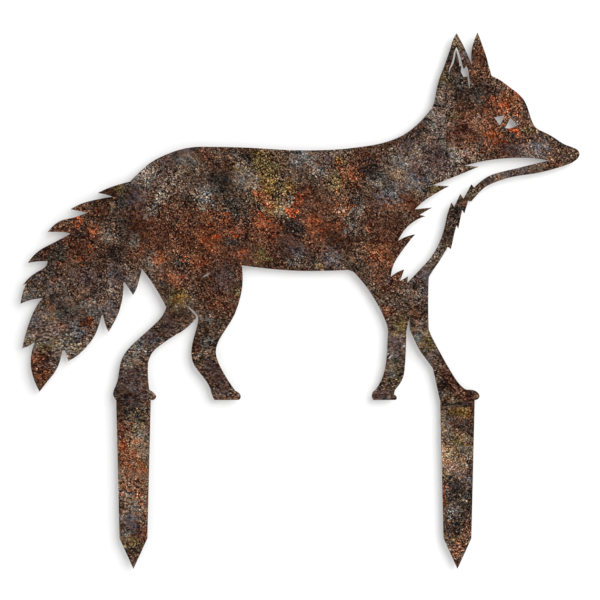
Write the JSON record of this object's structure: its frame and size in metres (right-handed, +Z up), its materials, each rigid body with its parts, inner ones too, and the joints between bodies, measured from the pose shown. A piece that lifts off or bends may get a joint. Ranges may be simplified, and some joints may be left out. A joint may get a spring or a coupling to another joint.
{
  "type": "garden silhouette stake",
  "caption": "Flat animal silhouette cut from rusted steel sheet, standing on pointed ground blades welded under its paws.",
  "frame": {"origin": "ground line (level of the paw soles), midway between the centre lines of the ground blades, mid thickness of the sheet", "axes": "+X towards the animal's nose, +Z up, the display face looks along -Y"},
  "size_m": [0.604, 0.0032, 0.5795],
  "materials": {
    "rusted_sheet": "matt mill scale and rust, mottled dark brown",
    "rusted_blade": "matt rust, lighter brown with orange streaks",
    "weld_metal": "rippled, lightly rusted"
  },
  "bodies": {
    "root": {"fox_panel": "rusted_sheet", "rear_blade": "rusted_blade", "front_blade": "rusted_blade", "rear_weld": "weld_metal", "front_weld": "weld_metal"}
  },
  "joints": []
}
